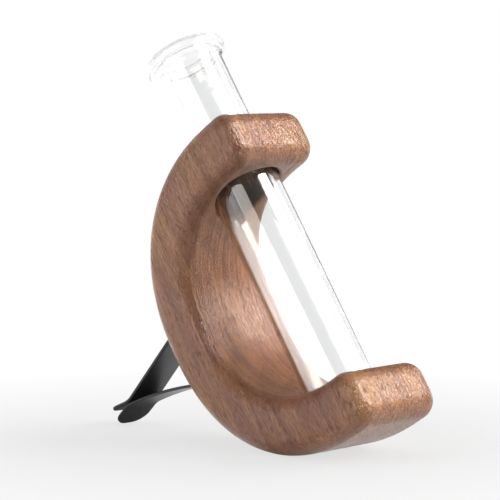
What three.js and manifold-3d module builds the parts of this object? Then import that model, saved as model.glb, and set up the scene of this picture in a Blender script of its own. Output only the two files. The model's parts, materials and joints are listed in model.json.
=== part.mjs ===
// Dashboard vase: a walnut C-shaped holder, a glass test tube and a spring-steel vent clip.
// Millimetres. In the holder's own frame X runs across its thickness, -Y is its open front
// and +Z runs up the tube. The finished vase leans back on the tip of its clip, with the
// round of the holder as its other foot, and stands on Z = 0.

import * as THREE from 'three';
import { mergeVertices } from 'three/addons/utils/BufferGeometryUtils.js';
import Module from 'manifold-3d';

// Fits between pieces
const SEAT_GAP = 0.3;
const BORE_CLEARANCE = 0.35;

// Walnut holder, seen from the side: a squared-off half round with two straight arms
const HALF_HEIGHT = 39.2;
const BACK_REACH = 38.2;
const ARM_REACH = 6.4;
const ARM_DEPTH = 13.2;
const BACK_WALL = 11.9;
const OUTLINE_POWER = 2.22;
const HOLDER_THICKNESS = 27;
const EDGE_ROUND = 3.8;
const ARM_TIP_ROUND = 4.4;
const BORE_EDGE_BREAK = 0.9;

// Glass test tube
const TUBE_RADIUS = 8;
const TUBE_WALL = 1;
const TUBE_LENGTH = 98;
const TUBE_SETBACK = 13.7;
const SOCKET_FLOOR = 3.3;
const LIP_OVERHANG = 1.85;
const LIP_BEAD_RADIUS = 1.55;
const LIP_FLARE_HEIGHT = 2.2;
const LIP_BEAD_START = -40;
const LIP_BEAD_END = 170;

// Spring clip: one steel strip, bent into a base and two leaves that close on each other
const STRIP_THICKNESS = 0.7;
const STRIP_WIDTH = 10;
const ROOT_BEND_RADIUS = 1.2;
const PINCH_REACH = 25.6;
const PINCH_RISE = 0.4;
const PINCH_BEND_RADIUS = 6;
const TIP_REACH = 7.2;
const TIP_CORNER_RADIUS = 3.5;
const POCKET_CORNER_RADIUS = 1.2;
const UPPER_LEAF = { rootSlope: 16.3, pinchSlope: 16.3, lipSlope: 10 };
const LOWER_LEAF = { rootSlope: 24, pinchSlope: 10, lipSlope: 12 };

// Pan-head wood screw that holds the clip's base
const SCREW_RADIUS = 1.4;
const SCREW_SHANK = 6.2;
const SCREW_POINT = 2.2;
const SCREW_HEAD_RADIUS = 2.5;
const SCREW_HEAD_HEIGHT = 1.6;
const SCREW_HEAD_SIDE = 0.6;
const RECESS_LENGTH = 2.8;
const RECESS_WIDTH = 0.6;
const RECESS_DEPTH = 0.9;

// Smoothness, and how far cutters run past what they cut
const OUTER_STEPS = 72;
const INNER_STEPS = 56;
const CORNER_STEPS = 6;
const EDGE_STEPS = 5;
const ROUND_STEPS = 56;
const TUBE_END_STEPS = 9;
const LIP_STEPS = 11;
const SCREW_STEPS = 24;
const WELD_DISTANCE = 1e-4;
const CUT_MARGIN = 0.3;

// Places that follow from the sizes
const INNER_HALF_HEIGHT = HALF_HEIGHT - ARM_DEPTH;
const INNER_REACH = BACK_REACH - BACK_WALL;
const BORE_RADIUS = TUBE_RADIUS + BORE_CLEARANCE;
const TUBE_FORWARD = ARM_REACH - TUBE_SETBACK;
const SOCKET_BOTTOM = SOCKET_FLOOR - HALF_HEIGHT;
const TUBE_BOTTOM = SOCKET_BOTTOM + SEAT_GAP;
const LEAF_SPACING = STRIP_THICKNESS + SEAT_GAP;
const STRIP_BASE_FORWARD = STRIP_THICKNESS / 2 - BACK_REACH;
const POCKET_FLOOR = STRIP_BASE_FORWARD + STRIP_THICKNESS / 2 + SEAT_GAP;

const wasm = await Module();
wasm.setup();

const radians = THREE.MathUtils.degToRad;

/* A closed three.js geometry as a solid for boolean work. */
function toSolid(geometry) {
  geometry.deleteAttribute('normal');
  geometry.deleteAttribute('uv');
  const welded = mergeVertices(geometry, WELD_DISTANCE);
  const mesh = new wasm.Mesh({
    numProp: 3,
    vertProperties: new Float32Array(welded.attributes.position.array),
    triVerts: new Uint32Array(welded.index.array),
  });
  return new wasm.Manifold(mesh);
}

/* The finished solid as a three.js geometry again. */
function toGeometry(solid) {
  const mesh = solid.getMesh();
  const geometry = new THREE.BufferGeometry();
  geometry.setAttribute('position', new THREE.BufferAttribute(mesh.vertProperties.slice(), 3));
  geometry.setIndex(new THREE.BufferAttribute(mesh.triVerts.slice(), 1));
  geometry.computeVertexNormals();
  return geometry;
}

/* Turns a side view drawn as (forward, up) and extruded by width into the holder's frame. */
function fromSideView(geometry, width) {
  const forward = new THREE.Vector3(0, -1, 0);
  const up = new THREE.Vector3(0, 0, 1);
  const across = new THREE.Vector3(-1, 0, 0);
  geometry.translate(0, 0, -width / 2);
  geometry.applyMatrix4(new THREE.Matrix4().makeBasis(forward, up, across));
  return geometry;
}

/* A point of the holder's frame from its side-view place and its offset across. */
function place(forward, up, across = 0) {
  return new THREE.Vector3(across, -forward, up);
}

/* A round bar along the tube's direction, as a cutter. */
function upright(radius, low, high, forward) {
  const geometry = new THREE.CylinderGeometry(radius, radius, high - low, ROUND_STEPS);
  geometry.rotateX(Math.PI / 2);
  const middle = place(forward, (low + high) / 2);
  geometry.translate(middle.x, middle.y, middle.z);
  return geometry;
}

// Walnut holder

/* Half height of a superellipse at a place in front of or behind the arcs' centre. */
function outlineHeight(halfHeight, reach, forward) {
  const share = Math.min(Math.max(-forward, 0) / reach, 1);
  return halfHeight * (1 - share ** OUTLINE_POWER) ** (1 / OUTLINE_POWER);
}

/* The superellipse's back half, from the lower arm round the back to the upper arm. */
function roundBack(halfHeight, reach, steps) {
  const points = [];
  for (let i = 0; i <= steps; i++) {
    const turn = Math.PI * (i / steps - 0.5);
    const rise = Math.sin(turn);
    const up = halfHeight * Math.sign(rise) * Math.abs(rise) ** (2 / OUTLINE_POWER);
    const forward = -reach * Math.abs(Math.cos(turn)) ** (2 / OUTLINE_POWER);
    points.push(new THREE.Vector2(forward, up));
  }
  return points;
}

/* A quarter round of a corner, from one angle to another, about a centre. */
function quarterRound(forward, up, radius, from, to) {
  const points = [];
  for (let i = 0; i <= CORNER_STEPS; i++) {
    const turn = radians(from + ((to - from) * i) / CORNER_STEPS);
    points.push(new THREE.Vector2(forward + radius * Math.cos(turn), up + radius * Math.sin(turn)));
  }
  return points;
}

const outerRound = roundBack(HALF_HEIGHT, BACK_REACH, OUTER_STEPS);

function holderOutline() {
  const front = ARM_REACH - ARM_TIP_ROUND;
  const outer = HALF_HEIGHT - ARM_TIP_ROUND;
  const inner = INNER_HALF_HEIGHT + ARM_TIP_ROUND;
  return new THREE.Shape([
    ...outerRound,
    ...quarterRound(front, outer, ARM_TIP_ROUND, 90, 0),
    ...quarterRound(front, inner, ARM_TIP_ROUND, 0, -90),
    ...roundBack(INNER_HALF_HEIGHT, INNER_REACH, INNER_STEPS).reverse(),
    ...quarterRound(front, -inner, ARM_TIP_ROUND, 90, 0),
    ...quarterRound(front, -outer, ARM_TIP_ROUND, 0, -90),
  ]);
}

/* The slab, with all its edges rounded over. */
function holderBlank() {
  const geometry = new THREE.ExtrudeGeometry(holderOutline(), {
    depth: HOLDER_THICKNESS - 2 * EDGE_ROUND,
    bevelEnabled: true,
    bevelThickness: EDGE_ROUND,
    bevelSize: EDGE_ROUND,
    bevelOffset: -EDGE_ROUND,
    bevelSegments: EDGE_STEPS,
  });
  return toSolid(fromSideView(geometry, HOLDER_THICKNESS - 2 * EDGE_ROUND));
}

/*
 * A ring that breaks the sharp edge where the bore meets the holder's curved face. Its
 * section is a triangle that follows the face round the bore, so the break is even.
 * side is +1 where the wood lies above the face and -1 where it lies below.
 */
function boreEdgeBreak(heightAt, side) {
  const past = CUT_MARGIN / BORE_EDGE_BREAK;
  const positions = [];
  const index = [];
  for (let i = 0; i < ROUND_STEPS; i++) {
    const turn = (2 * Math.PI * i) / ROUND_STEPS;
    const at = (radius) => {
      const forward = TUBE_FORWARD + radius * Math.cos(turn);
      return place(forward, heightAt(forward), radius * Math.sin(turn));
    };
    const edge = at(BORE_RADIUS);
    const onFace = at(BORE_RADIUS + BORE_EDGE_BREAK);
    const onWall = edge.clone().setZ(edge.z + side * BORE_EDGE_BREAK);
    const slope = onFace.clone().sub(onWall).multiplyScalar(past);
    const outward = edge.clone().multiplyScalar(2).sub(onFace).sub(onWall).multiplyScalar(past);
    positions.push(...onFace.add(slope), ...onWall.sub(slope), ...edge.add(outward));
    for (let j = 0; j < 3; j++) {
      const a = 3 * i + j;
      const b = 3 * i + ((j + 1) % 3);
      const c = (a + 3) % (3 * ROUND_STEPS);
      const d = (b + 3) % (3 * ROUND_STEPS);
      index.push(...(side > 0 ? [a, c, b, b, c, d] : [a, b, c, b, d, c]));
    }
  }
  const geometry = new THREE.BufferGeometry();
  geometry.setAttribute('position', new THREE.Float32BufferAttribute(positions, 3));
  geometry.setIndex(index);
  return toSolid(geometry);
}

/* The blind socket in the lower arm, with a round bottom for the tube's round end. */
function socketCutter() {
  const rim = -outlineHeight(INNER_HALF_HEIGHT, INNER_REACH, TUBE_FORWARD) + ARM_DEPTH;
  const profile = [new THREE.Vector2(0, SOCKET_BOTTOM)];
  for (let i = 1; i <= EDGE_STEPS * 2; i++) {
    const turn = (Math.PI * i) / (EDGE_STEPS * 4);
    const radius = BORE_RADIUS * Math.sin(turn);
    profile.push(new THREE.Vector2(radius, SOCKET_BOTTOM + BORE_RADIUS * (1 - Math.cos(turn))));
  }
  profile.push(new THREE.Vector2(BORE_RADIUS, rim), new THREE.Vector2(0, rim));
  const geometry = new THREE.LatheGeometry(profile, ROUND_STEPS);
  geometry.rotateX(Math.PI / 2);
  geometry.translate(0, -TUBE_FORWARD, 0);
  return toSolid(geometry);
}

// Spring clip

/* Points along a stretch of strip that turns evenly, after its first point. */
function bend(points, heading, length, turn, steps) {
  const start = points[points.length - 1];
  for (let i = 1; i <= steps; i++) {
    const part = (length * i) / steps;
    const half = (turn * i) / steps / 2;
    const chord = half === 0 ? part : (part * Math.sin(half)) / half;
    const along = new THREE.Vector2(Math.cos(heading + half), Math.sin(heading + half));
    points.push(start.clone().addScaledVector(along, chord));
  }
  return heading + turn;
}

/*
 * The middle line of a leaf, drawn as (distance behind the root, height over the pinch): down
 * to the pinch, evenly bent there, and out again along the lip. The lip runs a little past
 * the tip, where the tip's outline cuts it.
 */
function leafLine({ rootSlope, pinchSlope, lipSlope }) {
  const root = radians(rootSlope);
  const pinch = radians(pinchSlope);
  const lip = radians(lipSlope);
  const rootSetback = ROOT_BEND_RADIUS * (1 + Math.sin(root)) - STRIP_THICKNESS / 2;
  const run = PINCH_REACH - rootSetback - PINCH_BEND_RADIUS * Math.sin(pinch);
  const easing = (root - pinch) / 2;
  const mean = (root + pinch) / 2;
  const length = (run / Math.cos(mean)) * (easing === 0 ? 1 : easing / Math.sin(easing));
  const lipRun = TIP_REACH + STRIP_THICKNESS - PINCH_BEND_RADIUS * Math.sin(lip);
  const points = [new THREE.Vector2(0, 0)];
  let heading = bend(points, -root, length, root - pinch, CORNER_STEPS * 2);
  heading = bend(points, heading, PINCH_BEND_RADIUS * (pinch + lip), pinch + lip, CORNER_STEPS);
  bend(points, heading, lipRun / Math.cos(lip), 0, 1);
  const drop = run * Math.tan(mean) + PINCH_BEND_RADIUS * (1 - Math.cos(pinch));
  const behind = -BACK_REACH - rootSetback;
  const height = LEAF_SPACING / 2 + drop;
  return { points, behind, height, root, lip };
}

/* A leaf's middle line in the side view; side is +1 for the upper leaf, -1 for the lower. */
function placedLeaf(leaf, side) {
  const line = leafLine(leaf);
  const points = line.points.map(
    (p) => new THREE.Vector2(line.behind - p.x, PINCH_RISE + side * (line.height + p.y)),
  );
  return { ...line, points, side };
}

const upperLeaf = placedLeaf(UPPER_LEAF, 1);
const lowerLeaf = placedLeaf(LOWER_LEAF, -1);

/* A strip of the clip's thickness and width along a middle line in the side view. */
function stripSolid(points) {
  const left = [];
  const right = [];
  points.forEach((point, i) => {
    const before = points[Math.max(i - 1, 0)];
    const after = points[Math.min(i + 1, points.length - 1)];
    const along = after.clone().sub(before).normalize();
    const normal = new THREE.Vector2(-along.y, along.x).multiplyScalar(STRIP_THICKNESS / 2);
    left.push(point.clone().add(normal));
    right.unshift(point.clone().sub(normal));
  });
  const shape = new THREE.Shape([...left, ...right]);
  const geometry = new THREE.ExtrudeGeometry(shape, { depth: STRIP_WIDTH, bevelEnabled: false });
  return toSolid(fromSideView(geometry, STRIP_WIDTH));
}

/* The leaf seen from above: straight sides and a tip with round corners. */
function leafPlan() {
  const half = STRIP_WIDTH / 2;
  const side = half + CUT_MARGIN;
  const tip = BACK_REACH + PINCH_REACH + TIP_REACH;
  const corner = tip - TIP_CORNER_RADIUS;
  const shape = new THREE.Shape();
  shape.moveTo(-side, BACK_REACH);
  shape.lineTo(side, BACK_REACH);
  shape.lineTo(side, corner);
  shape.lineTo(half, corner);
  shape.absarc(half - TIP_CORNER_RADIUS, corner, TIP_CORNER_RADIUS, 0, Math.PI / 2, false);
  shape.absarc(TIP_CORNER_RADIUS - half, corner, TIP_CORNER_RADIUS, Math.PI / 2, Math.PI, false);
  shape.lineTo(-side, corner);
  const geometry = new THREE.ExtrudeGeometry(shape, {
    depth: 2 * HALF_HEIGHT,
    bevelEnabled: false,
    curveSegments: CORNER_STEPS,
  });
  geometry.translate(0, 0, -HALF_HEIGHT);
  return toSolid(geometry);
}

function clipLeaf(leaf) {
  const [root, next] = leaf.points;
  const along = next.clone().sub(root).normalize();
  const start = root.clone().addScaledVector(along, SEAT_GAP);
  return toGeometry(stripSolid([start, ...leaf.points.slice(1)]).intersect(leafPlan()));
}

/* The point of the base's flat where a leaf's root bend begins. */
function baseEnd(leaf) {
  const up = leaf.points[0].y - leaf.side * ROOT_BEND_RADIUS * Math.cos(leaf.root);
  return new THREE.Vector2(STRIP_BASE_FORWARD, up);
}

/* Base of the clip: the flat in the holder's pocket and a bend towards each leaf. */
function clipBase() {
  const upper = [baseEnd(upperLeaf)];
  const lower = [baseEnd(lowerLeaf)];
  const upperTurn = Math.PI / 2 + upperLeaf.root;
  const lowerTurn = Math.PI / 2 + lowerLeaf.root;
  bend(upper, Math.PI / 2, ROOT_BEND_RADIUS * upperTurn, upperTurn, CORNER_STEPS);
  bend(lower, -Math.PI / 2, ROOT_BEND_RADIUS * lowerTurn, -lowerTurn, CORNER_STEPS);
  const strip = stripSolid([...lower.reverse(), ...upper]);
  return toGeometry(strip.subtract(screwHole(SCREW_RADIUS + SEAT_GAP)));
}

/* The pocket cut in the holder's back, deep enough to bring the base flush. */
function basePocket() {
  const half = STRIP_WIDTH / 2 + SEAT_GAP;
  const past = ROOT_BEND_RADIUS + STRIP_THICKNESS / 2 + SEAT_GAP + POCKET_CORNER_RADIUS;
  const top = baseEnd(upperLeaf).y + past;
  const bottom = baseEnd(lowerLeaf).y - past;
  const shape = new THREE.Shape();
  const round = POCKET_CORNER_RADIUS;
  shape.absarc(half - round, top - round, round, 0, Math.PI / 2, false);
  shape.absarc(round - half, top - round, round, Math.PI / 2, Math.PI, false);
  shape.absarc(round - half, bottom + round, round, Math.PI, 1.5 * Math.PI, false);
  shape.absarc(half - round, bottom + round, round, 1.5 * Math.PI, 2 * Math.PI, false);
  const geometry = new THREE.ExtrudeGeometry(shape, {
    depth: BACK_WALL,
    bevelEnabled: false,
    curveSegments: CORNER_STEPS,
  });
  geometry.rotateX(Math.PI / 2);
  geometry.translate(0, -POCKET_FLOOR + BACK_WALL, 0);
  return toSolid(geometry);
}

// Screw

const screwHeight = (baseEnd(upperLeaf).y + baseEnd(lowerLeaf).y) / 2;
const screwSeat = STRIP_BASE_FORWARD - STRIP_THICKNESS / 2 - SEAT_GAP;
const screwLength = SCREW_SHANK + SCREW_POINT;

/* A revolved profile of (radius, depth into the holder from the head's seat). */
function driven(profile) {
  const geometry = new THREE.LatheGeometry(profile, SCREW_STEPS);
  geometry.rotateX(Math.PI);
  geometry.translate(0, -screwSeat, screwHeight);
  return geometry;
}

/* A straight hole round the screw, from outside the head to past its point. */
function screwHole(radius) {
  const start = -SCREW_HEAD_HEIGHT - CUT_MARGIN;
  const end = screwLength + SEAT_GAP;
  return toSolid(driven([
    new THREE.Vector2(0, start),
    new THREE.Vector2(radius, start),
    new THREE.Vector2(radius, end),
    new THREE.Vector2(0, end),
  ]));
}

function clipScrew() {
  const profile = [new THREE.Vector2(0, -SCREW_HEAD_HEIGHT)];
  for (let i = 1; i <= CORNER_STEPS; i++) {
    const turn = (Math.PI * i) / (2 * CORNER_STEPS);
    const dome = (SCREW_HEAD_HEIGHT - SCREW_HEAD_SIDE) * Math.cos(turn);
    profile.push(new THREE.Vector2(SCREW_HEAD_RADIUS * Math.sin(turn), -SCREW_HEAD_SIDE - dome));
  }
  profile.push(new THREE.Vector2(SCREW_HEAD_RADIUS, 0));
  profile.push(new THREE.Vector2(SCREW_RADIUS, 0));
  profile.push(new THREE.Vector2(SCREW_RADIUS, SCREW_SHANK));
  profile.push(new THREE.Vector2(0, screwLength));
  let screw = toSolid(driven(profile));
  for (const turn of [0, Math.PI / 2]) {
    const slot = new THREE.BoxGeometry(RECESS_LENGTH, 2 * RECESS_DEPTH, RECESS_WIDTH);
    slot.rotateY(turn);
    slot.translate(0, SCREW_HEAD_HEIGHT - screwSeat, screwHeight);
    screw = screw.subtract(toSolid(slot));
  }
  return toGeometry(screw);
}

function walnutHolder() {
  const onInside = (forward) => outlineHeight(INNER_HALF_HEIGHT, INNER_REACH, forward);
  const onTop = (forward) => outlineHeight(HALF_HEIGHT, BACK_REACH, forward);
  return toGeometry(
    holderBlank()
      .subtract(toSolid(upright(BORE_RADIUS, 0, HALF_HEIGHT + CUT_MARGIN, TUBE_FORWARD)))
      .subtract(socketCutter())
      .subtract(boreEdgeBreak(onInside, 1))
      .subtract(boreEdgeBreak(onTop, -1))
      .subtract(boreEdgeBreak((forward) => -onInside(forward), -1))
      .subtract(basePocket())
      .subtract(screwHole(SCREW_RADIUS + SEAT_GAP)),
  );
}

// Glass tube

/* Round bottom, straight wall, a short flare and a rolled bead, then down the inside. */
function glassTube() {
  const inside = TUBE_RADIUS - TUBE_WALL;
  const beadRadius = TUBE_RADIUS + LIP_OVERHANG - LIP_BEAD_RADIUS;
  const beadHeight = TUBE_LENGTH - LIP_BEAD_RADIUS;
  const profile = [];
  const round = (radius, from, to, centreRadius, height, steps) => {
    for (let i = 0; i <= steps; i++) {
      const turn = radians(from + ((to - from) * i) / steps);
      const across = Math.max(centreRadius + radius * Math.cos(turn), 0);
      profile.push(new THREE.Vector2(across, height + radius * Math.sin(turn)));
    }
  };
  round(TUBE_RADIUS, -90, 0, 0, TUBE_RADIUS, TUBE_END_STEPS);
  const flareFoot = new THREE.Vector2(TUBE_RADIUS, beadHeight - LIP_BEAD_RADIUS - LIP_FLARE_HEIGHT);
  const flareBend = new THREE.Vector2(TUBE_RADIUS, beadHeight - LIP_BEAD_RADIUS);
  const beadStart = new THREE.Vector2(
    beadRadius + LIP_BEAD_RADIUS * Math.cos(radians(LIP_BEAD_START)),
    beadHeight + LIP_BEAD_RADIUS * Math.sin(radians(LIP_BEAD_START)),
  );
  const flare = new THREE.QuadraticBezierCurve(flareFoot, flareBend, beadStart);
  profile.push(...flare.getPoints(EDGE_STEPS).slice(0, -1));
  round(LIP_BEAD_RADIUS, LIP_BEAD_START, LIP_BEAD_END, beadRadius, beadHeight, LIP_STEPS);
  profile.push(new THREE.Vector2(inside, beadHeight - LIP_FLARE_HEIGHT));
  round(inside, 0, -90, 0, TUBE_RADIUS, TUBE_END_STEPS);
  const geometry = new THREE.LatheGeometry(profile, ROUND_STEPS);
  geometry.rotateX(Math.PI / 2);
  const foot = place(TUBE_FORWARD, TUBE_BOTTOM);
  geometry.translate(foot.x, foot.y, foot.z);
  return geometry;
}

// Assembly

function node(name, geometry, color, roughness, metalness, extra = {}) {
  const material = new THREE.MeshStandardMaterial({ color, roughness, metalness, ...extra });
  const mesh = new THREE.Mesh(geometry, material);
  mesh.name = name;
  return mesh;
}

/* How far back the vase leans: a line from the lower leaf's tip to the holder's round. */
function leanAngle() {
  const last = lowerLeaf.points[lowerLeaf.points.length - 1];
  const forward = -BACK_REACH - PINCH_REACH - TIP_REACH;
  const slope = Math.tan(lowerLeaf.lip);
  const underside = STRIP_THICKNESS / 2 / Math.cos(lowerLeaf.lip);
  const up = last.y + (forward - last.x) * slope - underside;
  return Math.max(...outerRound.map((p) => Math.atan2(up - p.y, p.x - forward)));
}

const vase = new THREE.Group();
vase.add(
  node('walnut_holder', walnutHolder(), 0x8a6048, 0.55, 0),
  node('glass_tube', glassTube(), 0xe8efee, 0.05, 0, { transparent: true, opacity: 0.35 }),
  node('clip_base', clipBase(), 0x2a2b2d, 0.4, 0.6),
  node('clip_upper_leaf', clipLeaf(upperLeaf), 0x2a2b2d, 0.4, 0.6),
  node('clip_lower_leaf', clipLeaf(lowerLeaf), 0x2a2b2d, 0.4, 0.6),
  node('clip_screw', clipScrew(), 0x3a3b3d, 0.35, 0.9),
);
vase.rotation.x = -leanAngle();

// The origin is the middle of the vase's footprint, on the surface that it stands on
vase.updateMatrixWorld(true);
const bounds = new THREE.Box3().setFromObject(vase, true);
const middle = bounds.getCenter(new THREE.Vector3());
vase.position.set(-middle.x, -middle.y, -bounds.min.z);
vase.updateMatrixWorld(true);

export default vase;
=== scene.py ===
import json
import math

import bmesh
import bpy
import numpy as np
from mathutils import Matrix, Vector


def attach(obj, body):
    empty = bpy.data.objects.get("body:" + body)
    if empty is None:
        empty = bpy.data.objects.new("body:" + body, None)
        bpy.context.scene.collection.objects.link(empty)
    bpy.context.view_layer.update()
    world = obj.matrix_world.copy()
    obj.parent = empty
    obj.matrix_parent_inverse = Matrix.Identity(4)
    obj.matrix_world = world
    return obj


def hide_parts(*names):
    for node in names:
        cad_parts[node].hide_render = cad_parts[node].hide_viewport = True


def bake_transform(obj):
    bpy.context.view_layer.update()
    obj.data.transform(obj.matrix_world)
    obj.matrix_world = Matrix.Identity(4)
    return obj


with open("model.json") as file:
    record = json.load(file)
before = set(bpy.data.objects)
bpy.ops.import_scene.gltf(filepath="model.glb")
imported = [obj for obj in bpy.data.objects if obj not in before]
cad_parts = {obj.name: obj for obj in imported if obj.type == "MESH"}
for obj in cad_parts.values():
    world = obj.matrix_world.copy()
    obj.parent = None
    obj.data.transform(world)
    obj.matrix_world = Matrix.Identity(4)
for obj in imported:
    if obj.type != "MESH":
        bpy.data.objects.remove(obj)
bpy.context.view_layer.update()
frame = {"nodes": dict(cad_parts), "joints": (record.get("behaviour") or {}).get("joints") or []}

# Walnut holder
# One block of solid walnut, sawn to a C, bored through the upper arm and part way into the
# lower arm, with a shallow pocket and a pilot hole in its back. All its edges are sanded round
# and the wood is oiled.

# Sizes are millimetres in the holder's own axes: forward to its open front, up the tube, across
MM = 0.001
HALF_HEIGHT = 39.2
BACK_REACH = 38.2
ARM_REACH = 6.4
ARM_DEPTH = 13.2
BACK_WALL = 11.9
OUTLINE_POWER = 2.22
HALF_THICKNESS = 13.5
EDGE_ROUND = 3.8
ARM_TIP_ROUND = 4.4
BORE_RADIUS = 8.35
BORE_EDGE_BREAK = 0.9
TUBE_FORWARD = -7.3
SOCKET_BOTTOM = -35.9
POCKET_FLOOR = -37.2
POCKET_HALF_WIDTH = 5.3
POCKET_EDGE_BREAK = 0.25
PILOT_RADIUS = 1.1
PILOT_END = -29.6
# Rows of faces: round an arm's tip, beside a hole, and in all from tip to tip; and across an arm
TIP_ROWS = 5
HOLE_ROWS = 48
ALONG = 256
ACROSS_ARM = 24
FLAT_COLUMNS = 40
ROUND_COLUMNS = 8
HOLE_FRONT = 2.7
HOLE_BACK = -17.4
# Rows of faces from a block's border to a hole, round its broken edge, and down its walls
HOLE_RINGS = 6
BORE_RINGS = 16
SOCKET_RINGS = 8
BALL_RINGS = 18
# Points on a curve before it is resampled, and the share of it that gives a heading
ARC_STEPS = 60
OUTLINE_STEPS = 6000
HEADING_SHARE = 1 / 4000
# Points that lie this close together, in metres, become one
WELD = 2e-7

ACROSS = np.array([1.0, 0.0, 0.0])
UP = np.array(next(j["axis"] for j in frame["joints"] if j["name"] == "tube_lift"))
UP = UP / np.linalg.norm(UP)
FORWARD = np.cross(ACROSS, UP)


def node_points(name):
    """The vertices of a CAD node, as an array of places in metres."""
    mesh = frame["nodes"][name].data
    points = np.empty(3 * len(mesh.vertices))
    mesh.vertices.foreach_get("co", points)
    return points.reshape(-1, 3)


def holder_centre():
    """The holder's own origin: the arms' front less their reach, half way up between them."""
    points = node_points("walnut_holder")
    front = (points @ FORWARD).max() - ARM_REACH * MM
    heights = points @ UP
    return FORWARD * front + UP * (heights.max() + heights.min()) / 2


CENTRE = holder_centre()


def place(forward, up, across):
    """Places in metres: the centre plus each distance in millimetres times its direction."""
    forward, up, across = np.broadcast_arrays(forward, up, across)
    sides = forward[..., None] * FORWARD + up[..., None] * UP + across[..., None] * ACROSS
    return CENTRE + MM * sides


def surface(grid, keep=None):
    """A grid of places as (places, four-cornered faces); keep says which of its cells stay."""
    rows, columns = grid.shape[:2]
    index = np.arange(rows * columns).reshape(rows, columns)
    faces = np.stack([index[:-1, :-1], index[1:, :-1], index[1:, 1:], index[:-1, 1:]], -1)
    if keep is not None:
        faces = faces[keep]
    return grid.reshape(-1, 3), faces.reshape(-1, 4)


def solid(name, surfaces, sharp=None):
    """Joins surfaces into one closed mesh, merges the points they share and turns faces out."""
    places, faces, count = [], [], 0
    for points, quads in surfaces:
        places.append(points)
        faces.append(quads + count)
        count += len(points)
    mesh = bpy.data.meshes.new(name)
    mesh.from_pydata(np.concatenate(places), [], np.concatenate(faces).tolist())
    work = bmesh.new()
    work.from_mesh(mesh)
    bmesh.ops.remove_doubles(work, verts=work.verts, dist=WELD)
    bmesh.ops.dissolve_degenerate(work, edges=work.edges, dist=WELD)
    bmesh.ops.recalc_face_normals(work, faces=work.faces)
    if work.calc_volume(signed=True) < 0:
        bmesh.ops.reverse_faces(work, faces=work.faces)
    work.to_mesh(mesh)
    work.free()
    mesh.shade_smooth()
    if sharp is not None:
        mesh.set_sharp_from_angle(angle=math.radians(sharp))
    piece = bpy.data.objects.new(name, mesh)
    bpy.context.scene.collection.objects.link(piece)
    return piece


def superellipse(half_height, reach, turn):
    """(forward, up) with (-forward / reach) ** power + (up / half_height) ** power = 1."""
    rise = np.sin(turn)
    up = half_height * np.sign(rise) * np.abs(rise) ** (2 / OUTLINE_POWER)
    forward = -reach * np.abs(np.cos(turn)) ** (2 / OUTLINE_POWER)
    return np.stack([forward, up], -1)


def arc(forward, up, radius, start, end, steps=ARC_STEPS):
    """(forward, up) along a circle about a centre, between two angles in degrees."""
    turn = np.radians(np.linspace(start, end, steps + 1))
    return np.stack([forward + radius * np.cos(turn), up + radius * np.sin(turn)], -1)


def long_run(half_height, reach, corner):
    """The outline from the lower arm's tip round the back to the upper arm's tip, finely.

    It is half of one corner's round, the superellipse's back half, and half of the other
    corner's round; corner is +1 outside the C and -1 inside it.
    """
    front = ARM_REACH - ARM_TIP_ROUND
    height = half_height - corner * ARM_TIP_ROUND
    back = superellipse(half_height, reach, np.linspace(-np.pi / 2, np.pi / 2, OUTLINE_STEPS + 1))
    lower = arc(front, -height, ARM_TIP_ROUND, -corner * 45, -corner * 90)
    upper = arc(front, height, ARM_TIP_ROUND, corner * 90, corner * 45)
    return np.concatenate([lower, back, upper])


def measured(points):
    """Distance along a line of points, from its first one."""
    return np.append(0, np.cumsum(np.linalg.norm(np.diff(points, axis=0), axis=1)))


def resample(points, distances):
    """Places and headings at distances along a line of points."""
    along = measured(points)
    at = np.stack([np.interp(distances, along, points[:, k]) for k in (0, 1)], -1)
    step = along[-1] * HEADING_SHARE
    ahead = np.clip(distances + step, 0, along[-1])
    behind = np.clip(distances - step, 0, along[-1])
    lines = [np.interp(ahead, along, c) - np.interp(behind, along, c) for c in points.T]
    heading = np.stack(lines, -1)
    return at, heading / np.linalg.norm(heading, axis=1, keepdims=True)


def holder_run(half_height, reach, corner):
    """A long run's places and headings, with rows that frame the holes in both arms."""
    points = long_run(half_height, reach, corner)
    along = measured(points)
    lower, upper = points[:, 1] < 0, points[:, 1] > 0
    stations = [0]
    for side, edge in ((lower, HOLE_FRONT), (lower, HOLE_BACK), (upper, HOLE_BACK), (upper, HOLE_FRONT)):
        stations.append(along[side][np.abs(points[side, 0] - edge).argmin()])
    stations.append(along[-1])
    rows = np.cumsum([0, TIP_ROWS, HOLE_ROWS, ALONG - 2 * (TIP_ROWS + HOLE_ROWS), HOLE_ROWS, TIP_ROWS])
    return resample(points, np.interp(np.arange(ALONG + 1), rows, stations))


def end_run(side):
    """The front of an arm from inside to outside: two half corners and the straight between."""
    front = ARM_REACH - ARM_TIP_ROUND
    inner = HALF_HEIGHT - ARM_DEPTH + ARM_TIP_ROUND
    outer = HALF_HEIGHT - ARM_TIP_ROUND
    line = np.concatenate([arc(front, inner, ARM_TIP_ROUND, -45, 0),
                           arc(front, outer, ARM_TIP_ROUND, 0, 45)])
    at, heading = resample(line, np.linspace(0, measured(line)[-1], ACROSS_ARM + 1))
    return at * [1, side], heading * [1, side]


def holder_loop():
    """The closed side view, as places and outward directions: inside up, tip, outside down, tip."""
    inside, inside_heading = holder_run(HALF_HEIGHT - ARM_DEPTH, BACK_REACH - BACK_WALL, -1)
    outside, outside_heading = holder_run(HALF_HEIGHT, BACK_REACH, 1)
    upper, upper_heading = end_run(1)
    lower, lower_heading = end_run(-1)
    at = np.concatenate([inside[:-1], upper[:-1], outside[:0:-1], lower[:0:-1], inside[:1]])
    heading = np.concatenate([inside_heading[:-1], upper_heading[:-1], -outside_heading[:0:-1],
                              -lower_heading[:0:-1], inside_heading[:1]])
    return at, np.stack([heading[:, 1], -heading[:, 0]], -1)


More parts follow.
